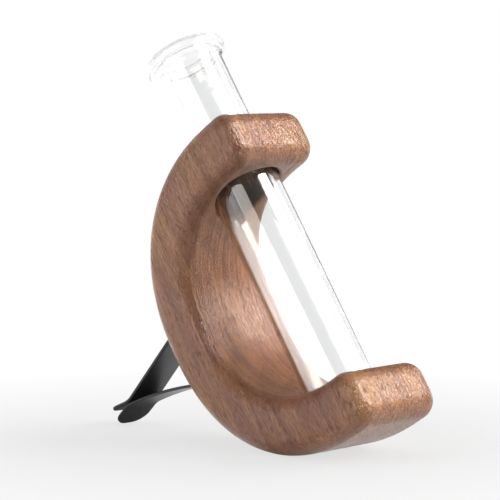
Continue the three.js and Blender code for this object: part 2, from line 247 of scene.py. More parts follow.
def columns_across():
    """Offsets across the holder and how far each one's loop is inset, by the edges' round."""
    turn = np.linspace(0, np.pi / 2, ROUND_COLUMNS + 1)
    flat = HALF_THICKNESS - EDGE_ROUND
    middle = np.linspace(-flat, flat, FLAT_COLUMNS + 1)
    rounded = flat + EDGE_ROUND * np.sin(turn[1:])
    inset = EDGE_ROUND * (1 - np.cos(turn[1:]))
    across = np.concatenate([-rounded[::-1], middle, rounded])
    return across, np.concatenate([inset[::-1], 0 * middle, inset])


def patch(loop, rows, columns):
    """Fills a loop of four runs: each place is blended from its two pairs of opposite edges."""
    a = np.linspace(0, 1, rows + 1)[:, None, None]
    b = np.linspace(0, 1, columns + 1)[None, :, None]
    start = loop[:rows + 1][:, None]
    far = loop[rows + columns:2 * rows + columns + 1][::-1][:, None]
    top = loop[rows:rows + columns + 1][None]
    bottom = loop[2 * rows + columns:][::-1][None]
    corners = ((1 - a) * (1 - b) * loop[0] + a * (1 - b) * loop[rows]
               + a * b * loop[rows + columns] + (1 - a) * b * loop[2 * rows + columns])
    return (1 - b) * start + b * far + (1 - a) * bottom + a * top - corners


def rectangle(rows, columns):
    """Once round a block of cells: (row, column) pairs that end where they start."""
    r, c = np.arange(rows), np.arange(columns)
    row = np.concatenate([r, 0 * c + rows, rows - r, 0 * c, [0]])
    column = np.concatenate([0 * r, c, 0 * r + columns, columns - c, [0]])
    return row, column


def arm_height(half_height, reach, corner, forward):
    """How far an arm's face lies from the middle: the superellipse, then the tip's round."""
    share = np.clip(-forward / reach, 0, 1)
    body = half_height * (1 - share ** OUTLINE_POWER) ** (1 / OUTLINE_POWER)
    past = np.clip(forward - (ARM_REACH - ARM_TIP_ROUND), 0, ARM_TIP_ROUND)
    return body - corner * (ARM_TIP_ROUND - np.sqrt(ARM_TIP_ROUND ** 2 - past ** 2))


def hole_turns():
    """One angle round the tube's axis for each point round a hole's block of cells."""
    row, column = rectangle(HOLE_ROWS, FLAT_COLUMNS)
    forward = HOLE_FRONT + (HOLE_BACK - HOLE_FRONT) * row / HOLE_ROWS - TUBE_FORWARD
    across = (HALF_THICKNESS - EDGE_ROUND) * (2 * column / FLAT_COLUMNS - 1)
    return np.arctan2(across, forward)


TURNS = hole_turns()
SHARES = np.linspace(0, 1, HOLE_RINGS + 1)[:, None]
BREAK_TURNS = np.linspace(0, np.pi / 2, HOLE_RINGS + 1)[:, None]


def hole_edge(border, half_height, reach, corner, side):
    """From a block's border over the face to the bore, and round the broken edge into it."""
    rim = np.stack([TUBE_FORWARD + (BORE_RADIUS + BORE_EDGE_BREAK) * np.cos(TURNS),
                    (BORE_RADIUS + BORE_EDGE_BREAK) * np.sin(TURNS)], -1)
    ring = border + SHARES[..., None] * (rim - border)
    height = side * arm_height(half_height, reach, corner, ring[..., 0])
    face = place(ring[..., 0], height, ring[..., 1])
    radius = BORE_RADIUS + BORE_EDGE_BREAK * (1 - np.sin(BREAK_TURNS))
    depth = corner * BORE_EDGE_BREAK * (1 - np.cos(BREAK_TURNS))
    forward = TUBE_FORWARD + radius * np.cos(TURNS)
    up = side * (arm_height(half_height, reach, corner, forward) - depth)
    return [face, place(forward, up, radius * np.sin(TURNS))], up[-1]


def bore_wall(start, end, steps):
    """A straight wall of the bore's radius between two edges' heights."""
    up = start + np.linspace(0, 1, steps + 1)[:, None] * (end - start)
    return place(TUBE_FORWARD + BORE_RADIUS * np.cos(TURNS), up, BORE_RADIUS * np.sin(TURNS))


def ball_end():
    """The socket's round bottom: a half sphere, from its widest ring to its lowest point."""
    turn = np.linspace(np.pi / 2, 0, BALL_RINGS + 1)[:, None]
    radius = BORE_RADIUS * np.sin(turn)
    up = SOCKET_BOTTOM + BORE_RADIUS * (1 - np.cos(turn))
    return place(TUBE_FORWARD + radius * np.cos(TURNS), up + 0 * TURNS, radius * np.sin(TURNS))


# The clip's base sits in the pocket, so the pocket's ends follow from the strip's bends
STRIP_THICKNESS = 0.7
STRIP_HALF_WIDTH = 5.0
STRIP_BASE_FORWARD = STRIP_THICKNESS / 2 - BACK_REACH
ROOT_BEND_RADIUS = 1.2
LEAF_SPACING = 1.0
PINCH_REACH = 25.6
PINCH_RISE = 0.4
PINCH_BEND_RADIUS = 6.0
TIP_REACH = 7.2
TIP_CORNER_RADIUS = 3.5
POCKET_PAST_BEND = 3.05
POCKET_RIM_POWER = 9
POCKET_MARGIN = 1.5
# A leaf's slopes at its root, its pinch and its lip, and which side of the pinch it lies on
UPPER_LEAF = {"root": math.radians(16.3), "pinch": math.radians(16.3), "lip": math.radians(10), "side": 1}
LOWER_LEAF = {"root": math.radians(24), "pinch": math.radians(10), "lip": math.radians(12), "side": -1}


def leaf_stretches(leaf):
    """A leaf's length and turn from its root to its pinch, and how far that brings it down."""
    setback = ROOT_BEND_RADIUS * (1 + math.sin(leaf["root"])) - STRIP_THICKNESS / 2
    run = PINCH_REACH - setback - PINCH_BEND_RADIUS * math.sin(leaf["pinch"])
    mean, easing = (leaf["root"] + leaf["pinch"]) / 2, (leaf["root"] - leaf["pinch"]) / 2
    length = run / math.cos(mean) * (easing / math.sin(easing) if easing else 1)
    drop = run * math.tan(mean) + PINCH_BEND_RADIUS * (1 - math.cos(leaf["pinch"]))
    return length, leaf["root"] - leaf["pinch"], drop


def base_end(leaf):
    """The height at which the base's flat ends and a leaf's root bend starts."""
    root_height = LEAF_SPACING / 2 + leaf_stretches(leaf)[2]
    return PINCH_RISE + leaf["side"] * (root_height - ROOT_BEND_RADIUS * math.cos(leaf["root"]))


SCREW_UP = (base_end(UPPER_LEAF) + base_end(LOWER_LEAF)) / 2
POCKET_HALF_LENGTH = (base_end(UPPER_LEAF) - base_end(LOWER_LEAF)) / 2 + POCKET_PAST_BEND


def back_surface(up):
    """How far forward the holder's round back lies at a height: minus the superellipse."""
    share = np.clip(np.abs(up) / HALF_HEIGHT, 0, 1)
    return -BACK_REACH * (1 - share ** OUTLINE_POWER) ** (1 / OUTLINE_POWER)


def pocket(border):
    """The pocket in the back: its edge, walls and flat floor, and the pilot hole in that.

    border is (up, across) round the block of cells that it is cut in. Its rim is a rectangle
    with round corners: a superellipse of a high power.
    """
    turn = np.arctan2(border[:, 1] / POCKET_HALF_WIDTH, (border[:, 0] - SCREW_UP) / POCKET_HALF_LENGTH)
    power = 2 / POCKET_RIM_POWER
    cosine, sine = np.cos(turn), np.sin(turn)
    shape = np.stack([np.sign(cosine) * np.abs(cosine) ** power,
                      np.sign(sine) * np.abs(sine) ** power], -1)
    middle = np.array([SCREW_UP, 0])
    size = np.array([POCKET_HALF_LENGTH, POCKET_HALF_WIDTH])
    rim = middle + shape * size
    broken = middle + shape * (size + POCKET_EDGE_BREAK)
    pilot = middle + PILOT_RADIUS * np.stack([cosine, sine], -1)
    skin = border + SHARES[..., None] * (broken - border)
    grids = [place(back_surface(skin[..., 0]), skin[..., 0], skin[..., 1])]
    edge = rim + (1 - np.sin(BREAK_TURNS))[..., None] * (broken - rim)
    depth = POCKET_EDGE_BREAK * (1 - np.cos(BREAK_TURNS))
    grids.append(place(back_surface(edge[..., 0]) + depth, edge[..., 0], edge[..., 1]))
    top = back_surface(rim[:, 0]) + POCKET_EDGE_BREAK
    wall = top + SHARES * (POCKET_FLOOR - top)
    grids.append(place(wall, rim[:, 0], rim[:, 1]))
    floor = rim + SHARES[..., None] * (pilot - rim)
    grids.append(place(POCKET_FLOOR, floor[..., 0], floor[..., 1]))
    deep = POCKET_FLOOR + SHARES * (PILOT_END - POCKET_FLOOR)
    grids.append(place(deep, pilot[:, 0], pilot[:, 1]))
    point = middle + (1 - SHARES[..., None]) * (pilot - middle)
    grids.append(place(PILOT_END + PILOT_RADIUS * SHARES, point[..., 0], point[..., 1]))
    return grids


def walnut_block():
    """Every surface of the holder: the band round its edge, its two sides and its holes."""
    at, outward = holder_loop()
    across, inset = columns_across()
    band = at[:, None] - outward[:, None] * inset[None, :, None]
    keep = np.ones((len(at) - 1, len(across) - 1), bool)
    flat = slice(ROUND_COLUMNS, ROUND_COLUMNS + FLAT_COLUMNS)
    row, column = rectangle(HOLE_ROWS, FLAT_COLUMNS)
    surfaces, heights = [], []
    # The socket's mouth, the bore's lower end and its upper end: first row, and which way it runs
    inner = (HALF_HEIGHT - ARM_DEPTH, BACK_REACH - BACK_WALL, -1)
    outer = (HALF_HEIGHT, BACK_REACH, 1)
    upper_inside = ALONG - TIP_ROWS
    upper_outside = ALONG + ACROSS_ARM + TIP_ROWS
    for first, way, face, side in ((TIP_ROWS, 1, inner, -1), (upper_inside, -1, inner, 1),
                                   (upper_outside, 1, outer, 1)):
        rows = first + way * row
        border = np.stack([at[rows, 0], across[ROUND_COLUMNS + column]], -1)
        grids, height = hole_edge(border, *face, side)
        surfaces += grids
        heights.append(height)
        keep[min(first, first + way * HOLE_ROWS):max(first, first + way * HOLE_ROWS), flat] = False
    socket_mouth, bore_low, bore_high = heights
    surfaces.append(bore_wall(bore_low, bore_high, BORE_RINGS))
    surfaces.append(bore_wall(socket_mouth, SOCKET_BOTTOM + BORE_RADIUS, SOCKET_RINGS))
    surfaces.append(ball_end())
    # The pocket's block of cells lies where the outside passes the middle of the back
    outside = np.arange(ALONG + ACROSS_ARM, 2 * ALONG + ACROSS_ARM + 1)
    reach = POCKET_HALF_LENGTH + POCKET_MARGIN
    inside = outside[(np.abs(at[outside, 1] - SCREW_UP) < reach) & (at[outside, 0] < 0)]
    first, last = inside[0], inside[-1]
    row, column = rectangle(last - first, FLAT_COLUMNS)
    border = np.stack([at[first + row, 1], across[ROUND_COLUMNS + column]], -1)
    surfaces += pocket(border)
    keep[first:last, flat] = False
    made = [surface(grid) for grid in surfaces]
    made.append(surface(place(band[..., 0], band[..., 1], across[None, :]), keep))
    for end in (0, -1):
        side = patch(band[:, end], ALONG, ACROSS_ARM)
        made.append(surface(place(side[..., 0], side[..., 1], across[end])))
    return made


class Wire:
    """A node's socket. An expression on it adds Math nodes, and node() adds any other one."""

    def __init__(self, tree, socket=None):
        self.tree, self.socket = tree, socket

    def node(self, kind, settings=None, sockets=None, output=0):
        """Adds a node: its settings first, then its sockets' values or links."""
        made = self.tree.nodes.new("ShaderNode" + kind)
        for name, value in (settings or {}).items():
            if name == "stops":
                ramp = made.color_ramp.elements
                while len(ramp) < len(value):
                    ramp.new(0.5)
                for stop, (position, color) in zip(ramp, value):
                    stop.position, stop.color = position, (*color, 1)
            else:
                setattr(made, name, value)
        for name, value in (sockets or {}).items():
            if isinstance(value, Wire):
                self.tree.links.new(value.socket, made.inputs[name])
            else:
                made.inputs[name].default_value = value
        return Wire(self.tree, made.outputs[output]) if made.outputs else None

    def math(self, operation, *values):
        """Adds one Math node on these values or links."""
        return self.node("Math", {"operation": operation}, dict(enumerate(values)))

    def __add__(self, other):
        return self.math("ADD", self, other)

    def __sub__(self, other):
        return self.math("SUBTRACT", self, other)

    def __rsub__(self, other):
        return self.math("SUBTRACT", other, self)

    def __mul__(self, other):
        return self.math("MULTIPLY", self, other)

    def __truediv__(self, other):
        return self.math("DIVIDE", self, other)

    def __pow__(self, other):
        return self.math("POWER", self, other)

    def __abs__(self):
        return self.math("ABSOLUTE", self)

    __radd__, __rmul__ = __add__, __mul__

    def ramp(self, low, high, start=0.0, end=1.0):
        """Goes evenly from start to end while this goes from low to high, and stays there."""
        sockets = {"Value": self, "From Min": low, "From Max": high, "To Min": start, "To Max": end}
        return self.node("MapRange", {"clamp": True}, sockets)

    def measure(self, operation, *others):
        """Adds one Vector Math node on this and others, and gives the number that it finds."""
        vectors = dict(enumerate((self, *others)))
        return self.node("VectorMath", {"operation": operation}, vectors, output=1)

    def noise(self, scale, detail=3.0, roughness=0.5, size=(1, 1, 1)):
        """Cloudy noise from 0 to 1 on this place; a size under 1 draws it out along that axis."""
        at = self.node("Mapping", {"vector_type": "POINT"}, {"Vector": self, "Scale": size})
        sockets = {"Vector": at, "Scale": scale, "Detail": detail, "Roughness": roughness}
        return self.node("TexNoise", None, sockets)

    def mixed(self, first, second, blend="MIX"):
        """Two colours mixed by this share; the Mix node's colours are its sockets 6, 7 and 2."""
        settings = {"data_type": "RGBA", "blend_type": blend}
        return self.node("Mix", settings, {0: self, 6: first, 7: second}, output=2)


def material(name, piece):
    """A new material as a piece's only one, still without nodes, and the wire to add them."""
    made = bpy.data.materials.new(name)
    made.use_nodes = True
    made.node_tree.nodes.clear()
    piece.data.materials.clear()
    piece.data.materials.append(made)
    return Wire(made.node_tree)


def principled(wire, values):
    """Ends a material: one Principled shader with these values or links."""
    shader = wire.node("BsdfPrincipled", None, values)
    wire.node("OutputMaterial", None, {"Surface": shader})


# The tree's pith lies outside the block, so the year rings cross it as gentle curves
PITH_ACROSS = 62.0
PITH_BACK = -88.0
YEAR_RING = 4.3
WALNUT_TONES = [(0.0, (0.62, 0.34, 0.165)), (0.35, (0.45, 0.222, 0.115)),
                (0.62, (0.315, 0.142, 0.075)), (1.0, (0.14, 0.055, 0.03))]
PURPLE_TINT = (0.95, 0.91, 1.14, 1)
WARM_TINT = (1.04, 0.93, 0.76, 1)
PORE_BROWN = (0.12, 0.05, 0.03, 1)
END_GRAIN_AND_SHADE_BROWN = (0.17, 0.083, 0.052, 1)
HOLE_SHADE_BROWN = (0.075, 0.036, 0.022, 1)
WALNUT_IOR = 1.42


def walnut_finish(piece):
    """Straight-grained walnut: year rings round a far pith, fibre streaks and open pores.

    The pattern lies in the holder's own axes in millimetres, with the fibres along the tube.
    tone is the sum of the patterns, each about its middle, and goes from pale to dark wood.
    """
    wire = material("oiled_walnut", piece)
    lean = math.atan2(UP[1], UP[2])
    turned = Matrix.Rotation(lean, 3, "X")
    start = turned @ Vector(CENTRE) / MM
    at = wire.node("TexCoord", output=3)
    at = wire.node("Mapping", {"vector_type": "POINT"}, {
        "Vector": at, "Location": -start, "Rotation": (lean, 0, 0), "Scale": (1 / MM,) * 3})
    split = wire.node("SeparateXYZ", None, {"Vector": at})
    across, back, up = (Wire(wire.tree, output) for output in split.socket.node.outputs)
    drift = at.noise(0.035, 2.0, size=(1, 1, 0.25)) - 0.5
    flow = at.noise(0.12, 3.0, size=(1, 1, 0.12)) - 0.5
    pith_x, pith_y = across - PITH_ACROSS, back - PITH_BACK
    distance = (pith_x * pith_x + pith_y * pith_y) ** 0.5 + 9.0 * drift + 1.6 * flow
    year = wire.math("FRACT", distance / YEAR_RING)
    late = year.ramp(0.15, 0.92) * (1 - year.ramp(0.92, 1.0))
    streak = at.noise(0.9, 2.0, 0.6, size=(1, 1, 0.05)).ramp(0.36, 0.64)
    fibre = at.noise(2.4, 3.0, 0.6, size=(1, 1, 0.08)).ramp(0.32, 0.68)
    fine = at.noise(4.2, 2.0, 0.6, size=(1, 1, 0.18)).ramp(0.36, 0.64)
    cloud = at.noise(0.14, 3.0, 0.6, size=(1, 1, 0.42)).ramp(0.34, 0.66)
    # Towards the arms' tips the saw cut the fibres at a slant, so they show as flecks. The wood there is
    # also painted paler, as painted light on the brightly lit fronts, and more so on the lower arm, as a
    # painted highlight
    tips = back.ramp(-2.5, -6.0)
    pale = up.ramp(-10.0, 10.0, 0.17, 0.08)
    fleck = at.noise(1.5, 4.0, 0.65, size=(1, 1, 0.75)).ramp(0.36, 0.64)
    # The curved faces are warmer than the sides, and have streaks from the sanding drum
    normal = wire.node("NewGeometry", output=1)
    curved = abs(normal.measure("DOT_PRODUCT", (1, 0, 0))).ramp(0.55, 0.97, 1.0, 0.0)
    drum = at.noise(0.75, 3.0, 0.6, size=(1, 0.05, 0.05)).ramp(0.36, 0.64)
    sanded = curved * (1 - tips) * (drum - 0.5)
    tone = (0.51 + 0.34 * sanded + 0.16 * (late - 0.5) + 0.16 * (streak - 0.5) + 0.18 * (fibre - 0.5)
            + 0.36 * (fine - 0.5) + 0.2 * (cloud - 0.5) + tips * (0.5 * (fleck - 0.5) - pale))
    color = wire.node("ValToRGB", {"stops": WALNUT_TONES}, {"Fac": tone})
    hue = at.noise(0.13, 2.0, 0.5, size=(1, 1, 0.5)).ramp(0.38, 0.62)
    color = hue.mixed(color, PURPLE_TINT, "MULTIPLY")
    pore = at.noise(2.6, 1.0, 0.4, size=(1, 1, 0.17)).ramp(0.61, 0.68)
    color = (0.55 * pore).mixed(color, PORE_BROWN)
    color = curved.mixed(color, WARM_TINT, "MULTIPLY")
    # Faces across the fibres are darker end grain. The ramp also reaches the upturned bottom of the C,
    # where the darker brown is painted shade
    end_grain_and_shade = abs(normal.measure("DOT_PRODUCT", tuple(UP))).ramp(0.4, 0.95)
    color = (0.45 * end_grain_and_shade).mixed(color, END_GRAIN_AND_SHADE_BROWN)
    # The drilled holes are painted dark brown, as painted shade inside them
    hole_back = back + TUBE_FORWARD
    from_axis = (across * across + hole_back * hole_back) ** 0.5
    hole_shade = from_axis.ramp(BORE_RADIUS + 0.1, BORE_RADIUS + 0.7, 1.0, 0.0)
    color = (0.75 * hole_shade * (1 - end_grain_and_shade)).mixed(color, HOLE_SHADE_BROWN)
    glint = at.noise(1.2, 2.0, 0.6, size=(1, 1, 0.8)).ramp(0.38, 0.62)
    height = 0.4 * fine + 0.5 * fibre + 0.65 * (tips * glint) + 1.2 * sanded - pore
    bump = wire.node("Bump", None, {"Strength": 0.7, "Distance": 0.12 * MM, "Height": height})
    roughness = (0.25 + 0.12 * (fine - 0.5) + 0.12 * (fibre - 0.5) + 0.2 * pore + 0.08 * end_grain_and_shade
                 + tips * (0.22 * (0.5 - glint)))
    principled(wire, {"Base Color": color, "Roughness": roughness, "Normal": bump,
                      "IOR": WALNUT_IOR})


holder = solid("oiled_walnut_holder", walnut_block(), sharp=50)
walnut_finish(holder)
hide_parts("walnut_holder")
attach(holder, "holder")

# Glass test tube
# Clear blown glass with a round bottom, a straight wall 1 mm thick and a lip that is flared and
# rolled outwards. It drops through the bore and stands in the socket by its own weight.

TUBE_RADIUS = 8.0
TUBE_WALL = 1.0
TUBE_LENGTH = 98.0
TUBE_BOTTOM = -35.6
LIP_OVERHANG = 1.85
LIP_BEAD_RADIUS = 1.55
LIP_FLARE_HEIGHT = 2.2
LIP_START = -40
LIP_END = 170
GLASS_AROUND = 160
WALL_RINGS = 30
FLARE_RINGS = 12
LIP_RINGS = 40
OUTER_END_RINGS = 28
INNER_END_RINGS = 26


def tube_profile():
    """(radius, height) from the bottom up the outside, over the lip and down the inside.

    The ends and the lip are circles' arcs. Each flare is a curve bent towards one middle
    point: (1 - t) ** 2 * first + 2 * t * (1 - t) * middle + t ** 2 * last.
    """
    bead = TUBE_RADIUS + LIP_OVERHANG - LIP_BEAD_RADIUS
    height = TUBE_LENGTH - LIP_BEAD_RADIUS
    bottom = arc(0, TUBE_RADIUS, TUBE_RADIUS, -90, 0, OUTER_END_RINGS)
    lip = arc(bead, height, LIP_BEAD_RADIUS, LIP_START, LIP_END, LIP_RINGS)
    foot = np.array([TUBE_RADIUS, height - LIP_BEAD_RADIUS - LIP_FLARE_HEIGHT])
    turn = np.array([TUBE_RADIUS, height - LIP_BEAD_RADIUS])
    t = np.linspace(0, 1, FLARE_RINGS + 1)[:, None]
    flare = (1 - t) ** 2 * foot + 2 * t * (1 - t) * turn + t ** 2 * lip[0]
    up = np.linspace(TUBE_RADIUS, foot[1], WALL_RINGS + 1)
    wall = np.stack([np.full(WALL_RINGS, TUBE_RADIUS), up[1:]], -1)
    inside = TUBE_RADIUS - TUBE_WALL
    neck = np.array([inside, foot[1]])
    throat = np.array([inside, height])
    inner = (1 - t) ** 2 * lip[-1] + 2 * t * (1 - t) * throat + t ** 2 * neck
    bore = np.stack([np.full(WALL_RINGS, inside), up[-2::-1]], -1)
    hollow = arc(0, TUBE_RADIUS, inside, 0, -90, INNER_END_RINGS)[1:]
    return np.concatenate([bottom, wall, flare[1:], lip[1:], inner[1:], bore, hollow])


def tube_skin():
    """The tube's profile turned round its axis: radius times (cosine, sine) at each height."""
    turn = np.linspace(0, 2 * np.pi, GLASS_AROUND + 1)[None, :]
    profile = tube_profile()
    radius, height = profile[:, :1], TUBE_BOTTOM + profile[:, 1:]
    return place(TUBE_FORWARD + radius * np.cos(turn), height + 0 * turn, radius * np.sin(turn))


GLASS_IOR = 1.49
POLISH_IOR = 1.6
CLEAR_GLASS = (0.957, 0.964, 0.96, 1)
GLASS_SHADOW = (0.93, 0.94, 0.935, 1)
# How far below the tube's top its thick bead begins, and where it is a full bead
BEAD_STARTS = 3.8
BEAD_IS_FULL = 2.6


def glass_finish(piece):
    """Clear glass with faint smudges and unevenness from blowing.

    The thick bead is a touch duller and lets part of the light straight through, which keeps
    it pale. A shadow ray always goes straight through, so the lamps shine through the tube.
    """
    wire = material("clear_tube_glass", piece)
    at = wire.node("TexCoord", output=3)
    ripple = at.noise(90.0, 2.0, 0.4, size=(1, 0.55, 0.35))
    bump = wire.node("Bump", None, {"Strength": 0.01, "Distance": 0.2 * MM, "Height": ripple})
    smudge = at.noise(160.0, 4.0, 0.6).ramp(0.45, 0.85, 0.0, 0.012)
    top = CENTRE @ UP + MM * (TUBE_BOTTOM + TUBE_LENGTH)
    rise = at.measure("DOT_PRODUCT", tuple(UP))
    bead = rise.ramp(top - MM * BEAD_STARTS, top - MM * BEAD_IS_FULL)
    glass = wire.node("BsdfPrincipled", None, {
        "Base Color": CLEAR_GLASS, "Roughness": smudge + 0.03 * bead, "Transmission Weight": 1.0,
        "IOR": GLASS_IOR, "Coat Weight": 0.3, "Coat Roughness": 0.0, "Coat IOR": POLISH_IOR,
        "Normal": bump, "Alpha": 1 - 0.3 * bead})
    clear = wire.node("BsdfTransparent", None, {"Color": GLASS_SHADOW})
    shadow = wire.node("LightPath", output=1)
    mixed = wire.node("MixShader", None, {0: shadow, 1: glass, 2: clear})
    wire.node("OutputMaterial", None, {"Surface": mixed})


tube = solid("glass_test_tube", [surface(tube_skin())])
glass_finish(tube)
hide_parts("glass_tube")
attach(tube, "tube")

# Vent clip
# One strip of spring steel with a satin black coating. Its base lies in the holder's pocket,
# and its two leaves close on each other at the pinch, then flare open at their tips. It is
# three pieces here, because each leaf flexes by itself.

STRIP_EDGE = 0.22
SIDE_COLUMNS = 24
EDGE_STEPS = 5
ROOT_BEND_STEPS = 18
LEAF_STEPS = 60
BLEND_STEPS = 20
PINCH_BEND_STEPS = 16
TIP_CORNER_STEPS = 14
TIP_EDGE_STEPS = 6
BASE_STEPS = 30
# The least space between two rows of faces, and the least round of an edge
LEAST_ROW = 0.05
LEAST_EDGE = 1e-4


def stretch(line, headings, length, turn, steps):
    """Adds an evenly bent stretch to a line: a chord is its arc times sin(half) / half its turn."""
    start, heading = line[-1], headings[-1]
    share = np.linspace(0, 1, steps + 1)[1:]
    half = turn * share / 2
    chord = length * share * np.sinc(half / np.pi)
    way = np.stack([np.cos(heading + half), np.sin(heading + half)], -1)
    line.extend(start + chord[:, None] * way)
    headings.extend(heading + turn * share)


def root_bend(leaf):
    """The strip's bend from the base's flat into a leaf: its middle line and headings."""
    line = [np.array([STRIP_BASE_FORWARD, base_end(leaf)])]
    headings = [leaf["side"] * math.pi / 2]
    turn = math.pi / 2 + leaf["root"]
    stretch(line, headings, ROOT_BEND_RADIUS * turn, leaf["side"] * turn, ROOT_BEND_STEPS)
    return line, headings


def leaf_line(leaf):
    """A leaf's middle line and headings, from the end of its root bend to its tip."""
    bent, turned = root_bend(leaf)
    line, headings = [bent[-1]], [turned[-1]]
    length, turn, _ = leaf_stretches(leaf)
    side = leaf["side"]
    stretch(line, headings, length, -side * turn, LEAF_STEPS)
    corner = leaf["pinch"] + leaf["lip"]
    stretch(line, headings, PINCH_BEND_RADIUS * corner, -side * corner, PINCH_BEND_STEPS)
    tip = BACK_REACH + PINCH_REACH + TIP_REACH
    stretch(line, headings, (tip + line[-1][0]) / math.cos(leaf["lip"]), 0, LEAF_STEPS)
    return np.array(line), np.array(headings)


def ribbon_section(half_width, half_thickness, edge):
    """Once round a flat bar's section: (across, off the middle) for arrays of its sizes."""
    turn = np.linspace(0, np.pi / 2, EDGE_STEPS + 1)
    span = np.linspace(1, -1, SIDE_COLUMNS + 1)
    flat, thick = half_width - edge, half_thickness - edge
    across = [flat + edge * np.cos(turn), flat * span[1:-1],
              -flat - edge * np.sin(turn), -flat - edge * np.cos(turn), -flat * span[1:-1],
              flat + edge * np.sin(turn), flat[:, :1] + edge[:, :1]]
    off = [thick + edge * np.sin(turn), half_thickness + 0 * span[1:-1],
           thick + edge * np.cos(turn), -thick - edge * np.sin(turn), -half_thickness + 0 * span[1:-1],
           -thick - edge * np.cos(turn), thick[:, :1]]
    return np.concatenate(across, 1), np.concatenate(off, 1)


def ribbon(line, headings, half_width, half_thickness, edge):
    """A flat bar along a middle line, open at both ends, as a grid of places."""
    sizes = [np.broadcast_to(np.asarray(size, float).reshape(-1, 1), (len(line), 1))
             for size in (half_width, half_thickness, edge)]
    across, off = ribbon_section(*sizes)
    normal = np.stack([-np.sin(headings), np.cos(headings)], -1)
    at = line[:, None] + normal[:, None] * off[..., None]
    return place(at[..., 0], at[..., 1], across)


def closed_bar(skin):
    """A bar's surface and its two flat end caps, each two rings of faces round its middle."""
    grids = [skin]
    for ring in (skin[0], skin[-1]):
        middle = ring[:-1].mean(0)
        half_way = middle + 0.5 * (ring - middle)
        grids.append(np.stack([ring, half_way, np.broadcast_to(middle, ring.shape)]))
    return [surface(grid) for grid in grids]


def leaf_skin(leaf):
    """A leaf with rounded edges, round tip corners and a rounded tip edge."""
    line, headings = leaf_line(leaf)
    run = measured(line)
    tip = run[-1]
    slope = math.cos(leaf["lip"])
    corner = np.linspace(0, np.pi / 2, TIP_CORNER_STEPS + 1)[1:]
    round_start = tip - TIP_CORNER_RADIUS / slope
    # The last turn of the corner gives way to the rounded edge of the tip
    bend = round_start + (tip - round_start - STRIP_EDGE) * np.sin(corner)
    width = STRIP_HALF_WIDTH - TIP_CORNER_RADIUS * (1 - np.cos(corner))
    edge_turn = np.linspace(0, np.pi / 2, TIP_EDGE_STEPS + 1)[1:]
    last = tip - STRIP_EDGE * (1 - np.sin(edge_turn))
    shrink = STRIP_EDGE * (1 - np.cos(edge_turn))
    at = np.concatenate([run[run < round_start - LEAST_ROW], [round_start], bend, last])
    thick = np.ones(len(at) - len(last))
    straight = np.ones(len(thick) - len(bend))
    half_width = np.concatenate([STRIP_HALF_WIDTH * straight, width, width[-1] - shrink])
    half_thickness = STRIP_THICKNESS / 2 - np.concatenate([0 * thick, shrink])
    edge = np.concatenate([STRIP_EDGE * thick, STRIP_EDGE * np.cos(edge_turn) + LEAST_EDGE])
    points = np.stack([np.interp(at, run, line[:, k]) for k in (0, 1)], -1)
    return closed_bar(ribbon(points, np.interp(at, run, headings), half_width, half_thickness, edge))


def base_skin():
    """The base: the flat between the two root bends, which run on to where the leaves begin."""
    lower, lower_turn = root_bend(LOWER_LEAF)
    upper, upper_turn = root_bend(UPPER_LEAF)
    up = np.linspace(lower[0][1], upper[0][1], BASE_STEPS + 1)[1:-1]
    flat = np.stack([np.full(len(up), STRIP_BASE_FORWARD), up], -1)
    line = np.concatenate([np.array(lower[::-1]), flat, np.array(upper)])
    back = np.array(lower_turn[::-1]) + math.pi
    headings = np.concatenate([back, np.full(len(up), math.pi / 2), np.array(upper_turn)])
    return closed_bar(ribbon(line, headings, STRIP_HALF_WIDTH, STRIP_THICKNESS / 2, STRIP_EDGE))


COATING_IOR = 1.42
COATING_BLACK = (0.026, 0.0275, 0.031, 1)
HANDLED_BLACK = (0.042, 0.0435, 0.048, 1)


def coated_steel(piece):
    """Satin black coating: a fine orange peel, and smears that are a little greyer and duller."""
    wire = material("satin_black_coating", piece)
    at = wire.node("TexCoord", output=3)
    peel = at.noise(2600.0, 2.0, 0.5)
    smear = at.noise(170.0, 4.0, 0.6)
    color = smear.ramp(0.3, 0.75).mixed(COATING_BLACK, HANDLED_BLACK)
    bump = wire.node("Bump", None, {"Strength": 0.25, "Distance": 0.03 * MM, "Height": peel})
    roughness = 0.36 + 0.16 * (smear - 0.5) + 0.06 * (peel - 0.5)
    principled(wire, {"Base Color": color, "Roughness": roughness, "Normal": bump,
                      "IOR": COATING_IOR})


base = solid("black_clip_base", base_skin(), sharp=45)
coated_steel(base)
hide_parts("clip_base")
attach(base, "holder")

# Each leaf is a piece of its own, and the places of its root and of a point a third of the way on to its
# pinch are found
for leaf, body in ((UPPER_LEAF, "upper_leaf"), (LOWER_LEAF, "lower_leaf")):
    piece = solid("black_clip_" + body, leaf_skin(leaf), sharp=45)
    coated_steel(piece)
    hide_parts("clip_" + body)
    line = leaf_line(leaf)[0]
    root, bent = (tuple(place(*line[step], 0)) for step in (0, BLEND_STEPS))
    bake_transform(piece)

# Screw
# A black steel pan-head wood screw with a cross recess. It is driven through the clip's base
# into the walnut, and the leaves hide it from the side.

SCREW_RADIUS = 1.4
SCREW_CORE = 1.02
SCREW_PITCH = 1.1
SCREW_SHANK = 6.2
SCREW_POINT = 2.2
HEAD_RADIUS = 2.5
HEAD_HEIGHT = 1.6
HEAD_SIDE = 0.6
RECESS_HALF_WIDTH = 0.3
RECESS_REACH = 1.4
RECESS_DEPTH = 0.85
# The share of its depth that the recess loses from its middle to its arms' ends
RECESS_RISE = 0.45
RECESS_SIDE_SOFTNESS = 0.07
RECESS_END_SOFTNESS = 0.1
SEAT_GAP = 0.3
HEAD_SEAT = STRIP_BASE_FORWARD - STRIP_THICKNESS / 2 - SEAT_GAP
